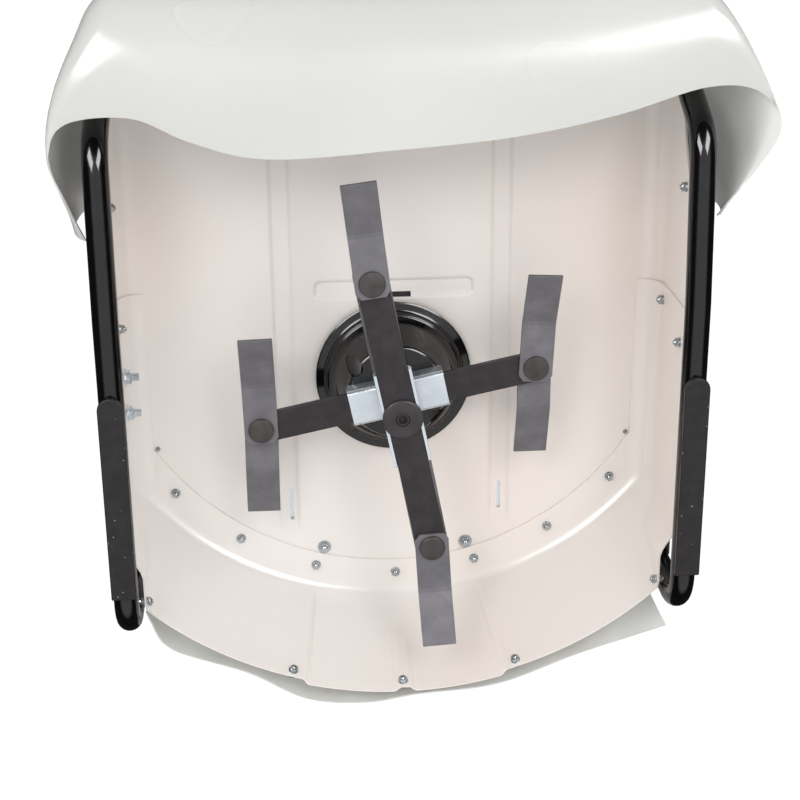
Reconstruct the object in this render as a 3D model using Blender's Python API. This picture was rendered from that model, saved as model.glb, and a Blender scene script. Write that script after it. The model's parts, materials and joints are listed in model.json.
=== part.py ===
"""Rotary brush mower deck, a front attachment for a two-wheel tractor.

+Z is up, +Y is the open front of the deck, where the curtain hangs, and -Y is
the tractor side. The deck stands on its two wear shoes at Z = 0. Every shape is
drawn about the rotor's axis, and one empty moves the whole machine so that the
origin is under the middle of its box. All lengths are metres.
"""
import math

import bmesh
import bpy
from mathutils import Vector

# ---------------------------------------------------------------- driving sizes
GAP = 0.0003                    # clearance between faces that touch
MACHINE_X, MACHINE_Y = 0.01820, -0.05650   # rotor axis from the middle of the box

DECK_Z = 0.235                  # underside of the top plate
SHEET = 0.0025                  # deck plate
SIDE_X = 0.345                  # inner face of the side plates
CORNER_R = 0.030                # bend between top plate and side plate
DECK_FRONT_Y = 0.405
SIDE_BOTTOM_Z = 0.050

SHROUD_Y = 0.104                # centre of the round rear half of the deck
RING_IN_R, RING_BEND_R = 0.370, 0.404
FLARE_TOP_R, FLARE_R, FLARE_Z = 0.424, 0.471, 0.070
SHROUD_SHEET = 0.002

SIDE_BOLT_YS, SIDE_BOLT_Z = (0.024, -0.024), 0.190   # two bolts through the left side plate

TUBE_R = 0.015
TUBE_X, TUBE_Z = 0.340, 0.0230
SHOE_T, SHOE_W = 0.0077, 0.032
LEG_Y, LEG_TOP_Z = -0.246, 0.185
RISER_Y, RISER_Z, RISER_LEAN = 0.345, 0.040, 0.49   # foot of the front riser
HOOP_Z = 0.1975
HOOP_Y = RISER_Y + (HOOP_Z - RISER_Z) * RISER_LEAN

PIVOT_R = 0.175                 # rotor axis to blade bolt
BAR_W, BAR_T, BAR_L = 0.038, 0.008, 0.384
BLADE_W, BLADE_T = 0.042, 0.004
BLADE_OUT, BLADE_IN, BLADE_BEND = 0.126, 0.018, 0.056
BLADE_DROP = math.radians(19.0)
BOLT_R, HEAD_R, HEAD_T = 0.0060, 0.0158, 0.0040
NUT_AF, NUT_T = 0.019, 0.0080
LOWER_BAR_Z, UPPER_BAR_Z = 0.0746, 0.1451     # undersides of the two bars
LOWER_BAR_TURN = math.radians(11.5)           # from +Y towards +X
CHANNEL_L, CHANNEL_T, CHANNEL_LEG = 0.122, 0.0040, 0.0120
CENTRE_R = 0.0060
DISH_FLOOR_Z = 0.1660

SHAFT_R = 0.0150
INPUT_Z, INPUT_R = 0.300, 0.010
HITCH_Y = -0.300

# Bar ends: azimuth from the front towards +X, bar, and the rest turn of the blades
# under and over the bar, in degrees from straight outwards.
BLADES = {
    "front": (0.0, "lower", (4.6, 181.0)),
    "rear": (180.0, "lower", (8.3, 181.0)),
    "left": (90.0, "upper", (100.0, -78.0)),
    "right": (-90.0, "upper", (-75.7, 101.5)),
}


# ---------------------------------------------------------------- small helpers
def material(name, colour, rough, metal=0.0):
    mat = bpy.data.materials.new(name)
    mat.use_nodes = True
    shader = mat.node_tree.nodes["Principled BSDF"]
    shader.inputs["Base Color"].default_value = (*colour, 1.0)
    shader.inputs["Roughness"].default_value = rough
    shader.inputs["Metallic"].default_value = metal
    return mat


def clear_scene():
    for obj in list(bpy.data.objects):
        bpy.data.objects.remove(obj, do_unlink=True)


def add(name, data, mat, parent, place=(0, 0, 0), turn=(0, 0, 0), smooth=None):
    """Put a mesh or a curve in the scene as one named sub-part."""
    if isinstance(data, bmesh.types.BMesh):
        bmesh.ops.recalc_face_normals(data, faces=data.faces)
        mesh = bpy.data.meshes.new(name)
        data.to_mesh(mesh)
        data.free()
        if smooth is not None:
            mesh.shade_smooth()
            mesh.set_sharp_from_angle(angle=math.radians(smooth))
        data = mesh
    data.materials.clear()
    data.materials.append(mat)
    obj = bpy.data.objects.new(name, data)
    bpy.context.collection.objects.link(obj)
    obj.parent = parent
    obj.location = place
    obj.rotation_euler = turn
    return obj


def turned(profile, steps, axis="Z"):
    """Close a ring of (radius, height) points by turning it about an axis."""
    bm = bmesh.new()
    rings = []
    for radius, height in profile:
        if radius < 1e-6:
            rings.append([bm.verts.new((0, 0, height))] * steps)
            continue
        rings.append([
            bm.verts.new((radius * math.cos(2 * math.pi * i / steps),
                          radius * math.sin(2 * math.pi * i / steps), height))
            for i in range(steps)])
    on_axis = profile[0][0] < 1e-6 and profile[-1][0] < 1e-6
    pairs = zip(rings, rings[1:] + ([] if on_axis else rings[:1]))
    for low, high in pairs:
        for i in range(steps):
            j = (i + 1) % steps
            corners = [low[i], low[j], high[j], high[i]]
            unique = list(dict.fromkeys(corners))
            if len(unique) > 2:
                bm.faces.new(unique)
    if axis == "Y":
        for vert in bm.verts:
            vert.co = Vector((vert.co.x, vert.co.z, vert.co.y))
    if axis == "X":
        for vert in bm.verts:
            vert.co = Vector((vert.co.z, vert.co.y, vert.co.x))
    return bm


def prism(outline, low, high):
    """Extrude a flat XY outline from one height to another."""
    bm = bmesh.new()
    base = [bm.verts.new((x, y, low)) for x, y in outline]
    top = [bm.verts.new((x, y, high)) for x, y in outline]
    bm.faces.new(base)
    bm.faces.new(top)
    for i in range(len(base)):
        j = (i + 1) % len(base)
        bm.faces.new((base[i], base[j], top[j], top[i]))
    return bm


def rounded_box(size, centre, bevel=0.0, segments=2):
    bm = bmesh.new()
    bmesh.ops.create_cube(bm, size=1.0)
    for vert in bm.verts:
        vert.co = Vector(centre) + Vector(vert.co[i] * size[i] for i in range(3))
    if bevel:
        bmesh.ops.bevel(bm, geom=list(bm.edges), offset=bevel, segments=segments,
                        affect="EDGES", profile=0.5)
    return bm


def sheet(rows, thickness):
    """Give a grid of points a thickness, half to each side, and close its edges."""
    count_u, count_v = len(rows), len(rows[0])

    def normal(i, j):
        along = rows[min(i + 1, count_u - 1)][j] - rows[max(i - 1, 0)][j]
        across = rows[i][min(j + 1, count_v - 1)] - rows[i][max(j - 1, 0)]
        return along.cross(across).normalized()

    bm = bmesh.new()
    sides = []
    for side in (0.5, -0.5):
        sides.append([[bm.verts.new(rows[i][j] + normal(i, j) * side * thickness)
                       for j in range(count_v)] for i in range(count_u)])
    for grid in sides:
        for i in range(count_u - 1):
            for j in range(count_v - 1):
                bm.faces.new((grid[i][j], grid[i + 1][j], grid[i + 1][j + 1],
                              grid[i][j + 1]))
    border = [(i, 0) for i in range(count_u)]
    border += [(count_u - 1, j) for j in range(1, count_v)]
    border += [(i, count_v - 1) for i in range(count_u - 2, -1, -1)]
    border += [(0, j) for j in range(count_v - 2, 0, -1)]
    for (a, b), (c, d) in zip(border, border[1:] + border[:1]):
        bm.faces.new((sides[0][a][b], sides[0][c][d], sides[1][c][d], sides[1][a][b]))
    return bm


def cut(target, name, bm, place=(0, 0, 0), turn=(0, 0, 0)):
    """Subtract a hidden cutter from a sub-part."""
    cutter = add(name, bm, target.data.materials[0], target.parent, place, turn)
    cutter.hide_render = True
    cutter.display_type = "WIRE"
    boolean = target.modifiers.new(name, "BOOLEAN")
    boolean.operation = "DIFFERENCE"
    boolean.solver = "EXACT"
    boolean.object = cutter
    return cutter


def plug(radius, low, high, steps=16, axis="Z"):
    return turned([(0, low), (radius, low), (radius, high), (0, high)], steps, axis)


def hexagon(across_flats, turn=0.0):
    radius = across_flats / math.sqrt(3)
    return [(radius * math.cos(turn + math.pi * i / 3), radius * math.sin(turn + math.pi * i / 3))
            for i in range(6)]


def smooth_path(points, step=0.012):
    """A Catmull-Rom curve through the points, about one point for each step."""
    points = [Vector(p) for p in points]
    ends = [2 * points[0] - points[1]] + points + [2 * points[-1] - points[-2]]
    path = []
    for p0, p1, p2, p3 in zip(ends, ends[1:], ends[2:], ends[3:]):
        count = max(1, round((p2 - p1).length / step))
        for i in range(count):
            t = i / count
            path.append(0.5 * (2 * p1 + (p2 - p0) * t
                               + (2 * p0 - 5 * p1 + 4 * p2 - p3) * t * t
                               + (3 * p1 - p0 - 3 * p2 + p3) * t ** 3))
    path.append(points[-1])
    return path


def bend_path(corners, radius, steps=6):
    """Straight runs between corners, with a round bend at each inner corner."""
    corners = [Vector(c) for c in corners]
    path = [corners[0]]
    for before, corner, after in zip(corners, corners[1:], corners[2:]):
        into = (before - corner).normalized()
        out = (after - corner).normalized()
        half = into.angle(out) / 2
        reach = radius / math.tan(half)
        centre = corner + (into + out).normalized() * radius / math.sin(half)
        start, end = corner + into * reach, corner + out * reach
        sweep = math.pi - 2 * half
        count = max(2, round(steps * sweep / (math.pi / 2)))
        for i in range(count + 1):
            a, b = start - centre, end - centre
            t = i / count
            path.append(centre + (a * math.sin((1 - t) * sweep) + b * math.sin(t * sweep))
                        / math.sin(sweep))
    path.append(corners[-1])
    return path


def tube(name, path, radius, mat, parent):
    curve = bpy.data.curves.new(name, "CURVE")
    curve.dimensions = "3D"
    curve.bevel_depth = radius
    curve.bevel_resolution = 3
    curve.resolution_u = 1
    curve.render_resolution_u = 0
    curve.use_fill_caps = True
    spline = curve.splines.new("POLY")
    spline.points.add(len(path) - 1)
    for point, co in zip(spline.points, path):
        point.co = (*co, 1.0)
    return add(name, curve, mat, parent)


# ---------------------------------------------------------------- deck and shroud
def half_wave(t):
    """0 to 1 with level ends."""
    return 0.5 - 0.5 * math.cos(math.pi * min(max(t, 0.0), 1.0))


def bead_height(x, y):
    """Two long pressed channels and one short cross channel in the top plate."""
    height = 0.0
    for middle in (0.139, -0.139):
        across = half_wave((0.017 - abs(x - middle)) / 0.007)
        height += 0.004 * across * half_wave((y + 0.212) / 0.014)
    return height


def deck_profile():
    """Cross section of the deck, from one side plate's edge to the other's."""
    x_plate, z_plate = SIDE_X + SHEET / 2, DECK_Z + SHEET / 2
    right = [(x_plate, SIDE_BOTTOM_Z), (x_plate, 0.095), (x_plate, 0.150)]
    for i in range(5):
        angle = math.pi / 2 * i / 4
        right.append((x_plate - CORNER_R + CORNER_R * math.cos(angle),
                      z_plate - CORNER_R + CORNER_R * math.sin(angle)))
    right += [(x, z_plate) for x in (0.235, 0.156, 0.149, 0.129, 0.122, 0.060)]
    return right + [(-x, z) for x, z in reversed(right)]


def deck_rear(x, z):
    """Rear edge of the deck at a place on its cross section."""
    if z > DECK_Z - 0.5 * CORNER_R:
        return SHROUD_Y - math.sqrt(0.398 ** 2 - min(abs(x), 0.345) ** 2)
    return -0.092 - 0.120 * (DECK_Z - CORNER_R - z) / (DECK_Z - CORNER_R - SIDE_BOTTOM_Z)


def deck_front(z):
    """The lower front corners of the side plates are cut away."""
    return DECK_FRONT_Y - 0.145 * half_wave((0.205 - z) / 0.115)


def build_deck(paint, root):
    rows = []
    stations = [0.0, 0.06, 0.13, 0.23, 0.36, 0.50, 0.66, 0.83, 1.0]
    for x, z in deck_profile():
        rear, front = deck_rear(x, z), deck_front(z)
        row = []
        for t in stations:
            y = rear + (front - rear) * t
            lift = bead_height(x, y) if abs(x) < 0.2 else 0.0
            row.append(Vector((x, y, z + lift)))
        rows.append(row)
    deck = add("deck_shell", sheet(rows, SHEET), paint, root, smooth=40)
    cut(deck, "spindle_opening", plug(0.0420, DECK_Z - 0.02, DECK_Z + 0.02, 32))
    for y in SIDE_BOLT_YS:
        cut(deck, f"side_bolt_hole_{y:+.3f}", plug(0.0054, SIDE_X - 0.02, SIDE_X + 0.02, 12, "X"),
            place=(0, y, SIDE_BOLT_Z))
    return deck


def shroud_profile():
    """Radius and height of the rear shroud: flat ring, rolled bend, flared wall."""
    ring_z = DECK_Z - GAP - SHROUD_SHEET / 2
    points = [(RING_IN_R, ring_z), (RING_BEND_R, ring_z)]
    drop = 0.019
    for i in range(1, 4):
        angle = math.radians(73) * i / 3
        points.append((RING_BEND_R + 0.0200 * math.sin(angle), ring_z - drop * (1 - math.cos(angle))))
    last_r, last_z = points[-1]
    for i in range(1, 5):
        t = i / 4
        points.append((last_r + (FLARE_R - last_r) * t, last_z + (FLARE_Z - last_z) * t))
    return points


def shroud_x(x, y, z):
    """Hold the shroud inside the side plates, and clear of the rear legs."""
    limit = SIDE_X - GAP - SHROUD_SHEET / 2
    limit -= 0.0215 * half_wave((-0.150 - y) / 0.050)
    into_bend = min(max(0.0, z + SHROUD_SHEET / 2 + GAP - (DECK_Z - CORNER_R)), CORNER_R)
    limit -= CORNER_R - math.sqrt(CORNER_R ** 2 - into_bend ** 2)
    return math.copysign(min(abs(x), limit), x)


def shroud_relief(angle, height):
    """The pressed middle panel and its centre rib, as an outward step."""
    arc = abs(angle) * FLARE_R
    fade = half_wave((0.205 - height) / 0.050)
    panel = 0.007 * half_wave((0.134 - arc) / 0.016)
    rib = 0.006 * half_wave((0.016 - arc) / 0.010)
    return fade * (panel - rib)


def build_shroud(paint, root):
    profile = shroud_profile()
    front_angle = math.radians(92)
    breaks = [0.0, 0.016, 0.026, 0.075, 0.118, 0.134, 0.200, 0.270, 0.340, 0.410, 0.470,
              0.530, 0.600, 0.660, 0.713]
    angles = [-a / FLARE_R for a in reversed(breaks[1:])] + [a / FLARE_R for a in breaks]
    scale = front_angle / angles[-1]
    rows = []
    for angle in angles:
        stretch = 1.0 + (scale - 1.0) * half_wave((abs(angle) - 0.6) / 0.9)
        swing = angle * stretch
        row = []
        for radius, height in profile:
            reach = radius + shroud_relief(angle, height)
            x = reach * math.sin(swing)
            y = SHROUD_Y - reach * math.cos(swing)
            row.append(Vector((shroud_x(x, y, height), y, height)))
        rows.append(row)
    shroud = add("rear_shroud", sheet(rows, SHROUD_SHEET), paint, root, smooth=35)
    for y in SIDE_BOLT_YS:
        cut(shroud, f"shroud_hole_{y:+.3f}", plug(0.0054, SIDE_X - 0.03, SIDE_X + 0.02, 12, "X"),
            place=(0, y, SIDE_BOLT_Z))
    return shroud


def build_side_bolts(zinc, root):
    """Two bolts through the left side plate, head outside and nut inside."""
    for label, y in zip(("front", "rear"), SIDE_BOLT_YS):
        inner = SIDE_X - 0.0052
        outer = SIDE_X + SHEET + GAP
        shank = turned([(0, inner - 0.018), (0.0050, inner - 0.018), (0.0050, outer),
                        (0.0085, outer), (0.0085, outer + 0.0055), (0, outer + 0.0055)], 12, "X")
        add(f"side_bolt_{label}", shank, zinc, root, place=(0, y, SIDE_BOLT_Z), smooth=40)
        nut = turned([(0.0053, inner - 0.0095), (0.0078, inner - 0.0095), (0.0088, inner - 0.0080),
                      (0.0088, inner - 0.0020), (0.0110, inner - 0.0020), (0.0110, inner),
                      (0.0053, inner)], 12, "X")
        add(f"side_nut_{label}", nut, zinc, root, place=(0, y, SIDE_BOLT_Z), smooth=40)


# ---------------------------------------------------------------- runner frame
JOINT_Z = HOOP_Z - 0.030        # where a runner meets the hoop
JOINT_Y = HOOP_Y - 0.030 * RISER_LEAN


def build_runners(black, dark, root):
    """Two bent runners, each with its shoe, gusset and leg bracket, and the hoop between."""
    for label, side in (("left", 1), ("right", -1)):
        x = side * TUBE_X
        corners = [(x, LEG_Y + 0.006, LEG_TOP_Z), (x, LEG_Y, TUBE_Z), (x, 0.150, TUBE_Z),
                   (x, RISER_Y, RISER_Z), (x, JOINT_Y, JOINT_Z)]
        tube(f"runner_{label}", bend_path(corners, 0.045), TUBE_R, black, root)

        bottom = TUBE_Z - TUBE_R - GAP
        shoe = prism(rounded_end(SHOE_W / 2, -0.190, 0.066), bottom - SHOE_T, bottom)
        bmesh.ops.bevel(shoe, geom=list(shoe.edges), offset=0.001, segments=1, affect="EDGES")
        add(f"wear_shoe_{label}", shoe, dark, root, place=(x, 0, 0), smooth=35)

        outer = side * (SIDE_X + SHEET + GAP + 0.0015)
        gusset = [(0.150, 0.0395), (0.318, 0.0560), (0.371, 0.150), (0.371, 0.180), (0.300, 0.180),
                  (0.170, 0.085)]
        plate = prism(gusset, outer - 0.0015, outer + 0.0015)
        for vert in plate.verts:
            vert.co = Vector((vert.co.z, vert.co.x, vert.co.y))
        add(f"front_gusset_{label}", plate, black, root)

        bracket = rounded_box((0.004, 0.052, 0.060), (side * 0.3495, -0.202, 0.165), 0.001, 1)
        add(f"rear_leg_bracket_{label}", bracket, black, root)

    left = bend_path([(TUBE_X, JOINT_Y + GAP * RISER_LEAN, JOINT_Z + GAP),
                      (TUBE_X, HOOP_Y, HOOP_Z), (0, HOOP_Y, HOOP_Z)], 0.022, 5)
    right = [Vector((-p.x, p.y, p.z)) for p in reversed(left[:-1])]
    tube("front_hoop", left[:-1] + right, TUBE_R, black, root)


def rounded_end(half_width, rear, front, steps=6):
    """A flat bar's outline with a square rear end and a round front end."""
    outline = [(-half_width, rear), (half_width, rear)]
    for i in range(steps + 1):
        angle = math.pi * i / steps
        outline.append((half_width * math.cos(angle), front - half_width
                        + half_width * math.sin(angle)))
    return outline


# ---------------------------------------------------------------- rotor
def flat_bar(length, width, low, high, end=0.008):
    half, side = length / 2, width / 2
    outline = [(-side + end, -half), (side - end, -half), (side, -half + end), (side, half - end),
               (side - end, half), (-side + end, half), (-side, half - end), (-side, -half + end)]
    return prism(outline, low, high)


def channel(length, low_web, leg, down):
    """A U-section of flat web and two legs, with square inner corners."""
    inner = BAR_W / 2 + GAP
    outer = inner + CHANNEL_T
    web_top = low_web + CHANNEL_T
    tip = web_top - leg if down else low_web + leg
    if down:
        section = [(-outer, tip), (-inner, tip), (-inner, low_web), (inner, low_web), (inner, tip),
                   (outer, tip), (outer, web_top - 0.002), (outer - 0.002, web_top),
                   (-outer + 0.002, web_top), (-outer, web_top - 0.002)]
    else:
        section = [(-outer, tip), (-inner, tip), (-inner, web_top), (inner, web_top), (inner, tip),
                   (outer, tip), (outer, low_web + 0.002), (outer - 0.002, low_web),
                   (-outer + 0.002, low_web), (-outer, low_web + 0.002)]
    bm = prism(section, -length / 2, length / 2)
    for vert in bm.verts:
        vert.co = Vector((vert.co.x, vert.co.z, vert.co.y))
    return bm


def blade_mesh(kind):
    """A flat blade with a square tip, cranked away from its bar."""
    sign = -1.0 if kind == "under" else 1.0
    half = BLADE_W / 2
    steps = [-BLADE_IN, -0.010, 0.0, 0.020, BLADE_BEND, BLADE_BEND + 0.006, BLADE_OUT]
    rows = []
    for y in steps:
        past = max(0.0, y - BLADE_BEND - 0.003)
        drop = sign * past * math.tan(BLADE_DROP)
        near_end = 0.006 if y <= -BLADE_IN else 0.0
        rows.append([Vector((x, y, drop)) for x in (-half + near_end, -half * 0.4, half * 0.4,
                                                    half - near_end)])
    return sheet(rows, BLADE_T)


def build_rotor(mats, root):
    steel, zinc, satin = mats
    levels = {"lower": LOWER_BAR_Z, "upper": UPPER_BAR_Z}
    quarter = {"lower": 0.0, "upper": math.pi / 2}
    for level, z in levels.items():
        spin = -LOWER_BAR_TURN - quarter[level]
        bar = add(f"{level}_bar", flat_bar(BAR_L, BAR_W, z, z + BAR_T), satin, root,
                  turn=(0, 0, spin))
        cut(bar, f"{level}_bar_centre", plug(CENTRE_R + GAP, z - 0.01, z + BAR_T + 0.01))
        for end in (1, -1):
            place = Vector((math.sin(-spin), math.cos(-spin), 0)) * PIVOT_R * end
            cut(bar, f"{level}_bar_end_{end}", plug(BOLT_R + GAP, z - 0.01, z + BAR_T + 0.01),
                place=place)
        web = z + BAR_T + GAP if level == "lower" else z - GAP - CHANNEL_T
        leg = CHANNEL_LEG if level == "lower" else 0.0245
        holder = add(f"{level}_channel", channel(CHANNEL_L, web, leg, level == "lower"), zinc,
                     root, turn=(0, 0, spin))
        cut(holder, f"{level}_channel_centre", plug(CENTRE_R + GAP, web - 0.01, web + 0.012))

    for name, (azimuth, level, swings) in BLADES.items():
        z = levels[level]
        bearing_angle = LOWER_BAR_TURN + math.radians(azimuth)
        heading = Vector((math.sin(bearing_angle), math.cos(bearing_angle), 0))
        out = math.atan2(-heading.x, heading.y)
        place = heading * PIVOT_R
        for kind, swing in zip(("under", "over"), swings):
            middle = z - GAP - BLADE_T / 2 if kind == "under" else z + BAR_T + GAP + BLADE_T / 2
            blade = add(f"{kind}_blade_{name}", blade_mesh(kind), steel, root,
                        place=place + Vector((0, 0, middle)), turn=(0, 0, out + math.radians(swing)))
            cut(blade, f"{kind}_blade_hole_{name}", plug(BOLT_R + GAP, -0.01, 0.01),
                place=blade.location)
        head_top = z - GAP - BLADE_T - GAP
        nut_low = z + BAR_T + GAP + BLADE_T + GAP
        bolt = turned([(0, head_top - HEAD_T), (HEAD_R - 0.001, head_top - HEAD_T),
                       (HEAD_R, head_top - HEAD_T + 0.001), (HEAD_R, head_top),
                       (BOLT_R, head_top), (BOLT_R, nut_low + NUT_T), (0, nut_low + NUT_T)], 16)
        add(f"blade_bolt_{name}", bolt, satin, root, place=place, smooth=40)
        nut = add(f"blade_nut_{name}", prism(hexagon(NUT_AF), nut_low, nut_low + NUT_T), zinc,
                  root, place=place)
        cut(nut, f"blade_nut_bore_{name}", plug(BOLT_R + GAP, nut_low - 0.01, nut_low + 0.02),
            place=place)

    washer_z = LOWER_BAR_Z - GAP
    washer = turned([(0.0088, washer_z - 0.004), (0.0235, washer_z - 0.004),
                     (0.0246, washer_z - 0.003), (0.0246, washer_z), (CENTRE_R + GAP, washer_z),
                     (CENTRE_R + GAP, washer_z - 0.0010), (0.0088, washer_z - 0.0010)], 28)
    add("centre_washer", washer, satin, root, smooth=40)
    head_z = washer_z - 0.0010 - GAP
    bolt = turned([(0, head_z - 0.0020), (0.0085, head_z - 0.0020), (0.0085, head_z),
                   (CENTRE_R, head_z), (CENTRE_R, 0.215), (0, 0.215)], 24)
    bolt = add("centre_bolt", bolt, satin, root, smooth=40)
    cut(bolt, "centre_bolt_socket", prism(hexagon(0.010, 0.3), head_z - 0.01, head_z + 0.003))

    spacer_low = LOWER_BAR_Z + BAR_T + GAP + CHANNEL_T + GAP
    spacer_high = UPPER_BAR_Z - GAP - CHANNEL_T - GAP
    inner = CENTRE_R + GAP
    add("rotor_spacer", turned([(inner, spacer_low), (0.021, spacer_low), (0.021, spacer_high),
                                (inner, spacer_high)], 24), satin, root, smooth=40)
    boss_low, boss_high = UPPER_BAR_Z + BAR_T + GAP, DISH_FLOOR_Z - GAP
    add("rotor_boss", turned([(inner, boss_low), (0.0185, boss_low), (0.0185, boss_high),
                              (inner, boss_high)], 24), satin, root, smooth=40)
    shaft_low = DISH_FLOOR_Z + 0.003 + GAP
    shaft = turned([(CENTRE_R + GAP, shaft_low), (SHAFT_R + 0.008, shaft_low),
                    (SHAFT_R + 0.008, shaft_low + 0.010), (SHAFT_R, shaft_low + 0.010),
                    (SHAFT_R, 0.2570), (0.0100, 0.2570), (0.0100, 0.2760), (0, 0.2760),
                    (0, 0.2200), (CENTRE_R + GAP, 0.2200)], 20)
    add("spindle_shaft", shaft, steel, root, smooth=40)


def build_dish(black, root):
    """Stamped hub dish: floor, sloping wall, two steps and a flat rim."""
    t, z = 0.003, DISH_FLOOR_Z
    under = [(CENTRE_R + GAP, z), (0.0560, z), (0.0610, z + 0.003), (0.0760, z + 0.040),
             (0.0820, z + 0.048), (0.0855, z + 0.0500), (0.0880, z + 0.0560), (0.1000, z + 0.0585)]
    over = [(0.1000, z + 0.0615), (0.0860, z + 0.0590), (0.0835, z + 0.0532), (0.0800, z + 0.0515),
            (0.0735, z + 0.042), (0.0590, z + 0.0062), (0.0545, z + t), (CENTRE_R + GAP, z + t)]
    dish = add("hub_dish", turned(under + over, 40), black, root, smooth=25)
    for i, azimuth in enumerate((32.0, 215.0)):
        angle = math.radians(azimuth)
        cut(dish, f"dish_hole_{i}", plug(0.0105, z - 0.01, z + 0.045, 16),
            place=(0.062 * math.cos(angle), 0.062 * math.sin(angle), 0))


# ---------------------------------------------------------------- drive
def build_drive(mats, root):
    cast, steel, chrome, rubber, zinc = mats
    low = DECK_Z + SHEET + 0.0006
    housing = turned([(0.0313, 0.2000), (0.0380, 0.2000), (0.0380, low), (0.0700, low),
                      (0.0700, low + 0.0090), (0.0313, low + 0.0090)], 32)
    add("spindle_housing", housing, cast, root, smooth=40)
    for label, z in (("lower", 0.2070), ("upper", 0.2320)):
        add(f"spindle_bearing_{label}", bearing(SHAFT_R + GAP, 0.0310, z, z + 0.013, "Z"), chrome,
            root, smooth=40)
    seal = turned([(SHAFT_R + GAP, 0.2005), (0.0310, 0.2005), (0.0310, 0.2065),
                   (SHAFT_R + GAP, 0.2065)], 20)
    add("spindle_seal", seal, rubber, root, smooth=40)

    body_low = low + 0.0090 + GAP
    body = rounded_box((0.122, 0.130, 0.112), (0, -0.006, body_low + 0.056), 0.012, 3)
    body = add("gearbox_housing", body, cast, root, smooth=40)
    cavity = rounded_box((0.100, 0.104, 0.140), (0, -0.005, body_low + 0.033), 0.0)
    cut(body, "gearbox_cavity", cavity)
    cut(body, "gearbox_input_bore", plug(0.0240, -0.10, 0.0, 28, "Y"), place=(0, 0, INPUT_Z))
    cut(body, "gearbox_filler_bore", plug(0.0083, 0.33, 0.38, 16), place=(0.030, 0.020, 0))
    filler = turned([(0, 0.3500), (0.0080, 0.3500), (0.0080, body_low + 0.112 + GAP),
                     (0.0120, body_low + 0.112 + GAP), (0.0120, body_low + 0.120),
                     (0, body_low + 0.120)], 18)
    add("filler_plug", filler, zinc, root, place=(0.030, 0.020, 0), smooth=40)

    pinion = bevel_gear(14, 0.0212, 0.0140, 0.0103, 0.2600, 0.2735)
    add("spindle_pinion", pinion, steel, root)
    crown = bevel_gear(28, 0.0400, 0.0262, INPUT_R + GAP, -0.0220, -0.0152)
    for vert in crown.verts:
        vert.co = Vector((vert.co.x, vert.co.z, vert.co.y))
    add("crown_gear", crown, steel, root, place=(0, 0, INPUT_Z))
    shaft = turned([(0, -0.013), (INPUT_R, -0.013), (INPUT_R, HITCH_Y + 0.020),
                    (0, HITCH_Y + 0.020)], 20, "Y")
    add("input_shaft", shaft, steel, root, place=(0, 0, INPUT_Z), smooth=40)
    for label, y in (("front", -0.090), ("rear", -0.245)):
        add(f"input_bearing_{label}", bearing(INPUT_R + GAP, 0.0232, y - 0.012, y, "Y"), chrome,
            root, place=(0, 0, INPUT_Z), smooth=40)
    add("drive_claw", drive_claw(), steel, root, place=(0, 0, INPUT_Z), smooth=40)

    nose = turned([(0.0235, -0.0714), (0.0460, -0.0714), (0.0460, -0.0800), (0.0310, -0.0860),
                   (0.0310, HITCH_Y + 0.030), (0.0550, HITCH_Y + 0.010), (0.0550, HITCH_Y),
                   (0.0300, HITCH_Y), (0.0235, HITCH_Y + 0.012)], 28, "Y")
    nose = add("hitch_nose", nose, cast, root, place=(0, 0, INPUT_Z), smooth=40)
    for i in range(4):
        angle = math.pi / 4 + math.pi / 2 * i
        place = (0.045 * math.cos(angle), 0, INPUT_Z + 0.045 * math.sin(angle))
        cut(nose, f"hitch_hole_{i}", plug(0.0055, HITCH_Y - 0.02, HITCH_Y + 0.03, 14, "Y"),
            place=place)
    support = [(-0.040, low), (0.040, low), (0.040, low + 0.006), (0.018, low + 0.006),
               (0.012, INPUT_Z - 0.0328), (-0.012, INPUT_Z - 0.0328), (-0.018, low + 0.006),
               (-0.040, low + 0.006)]
    prop = prism(support, -0.215, -0.175)
    for vert in prop.verts:
        vert.co = Vector((vert.co.x, vert.co.z, vert.co.y))
    add("nose_support", prop, cast, root)


def bearing(inner, outer, low, high, axis):
    """Two races with a shallow groove between them, as one sealed bearing."""
    third = (outer - inner) * 0.28
    dip = 0.0012
    profile = [(inner, low), (inner + third, low), (inner + third, low + dip),
               (outer - third, low + dip), (outer - third, low), (outer, low), (outer, high),
               (outer - third, high), (outer - third, high - dip), (inner + third, high - dip),
               (inner + third, high), (inner, high)]
    return turned(profile, 20, axis)


def bevel_gear(teeth, large, small, bore, low, high):
    """A bored cone with a rectangular wave of teeth; large end at low."""
    bm = bmesh.new()
    rings = []
    steps = teeth * 4
    for height, radius in ((low, large), (high, small)):
        depth = radius * 0.09
        outer = []
        inner = []
        for i in range(steps):
            angle = 2 * math.pi * i / steps
            r = radius if i % 4 < 2 else radius - depth
            outer.append(bm.verts.new((r * math.cos(angle), r * math.sin(angle), height)))
            inner.append(bm.verts.new((bore * math.cos(angle), bore * math.sin(angle), height)))
        rings.append((outer, inner))
    (low_out, low_in), (high_out, high_in) = rings
    for i in range(steps):
        j = (i + 1) % steps
        bm.faces.new((low_out[i], low_out[j], high_out[j], high_out[i]))
        bm.faces.new((high_in[i], high_in[j], low_in[j], low_in[i]))
        bm.faces.new((low_in[i], low_in[j], low_out[j], low_out[i]))
        bm.faces.new((high_out[i], high_out[j], high_in[j], high_in[i]))
    return bm


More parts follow.
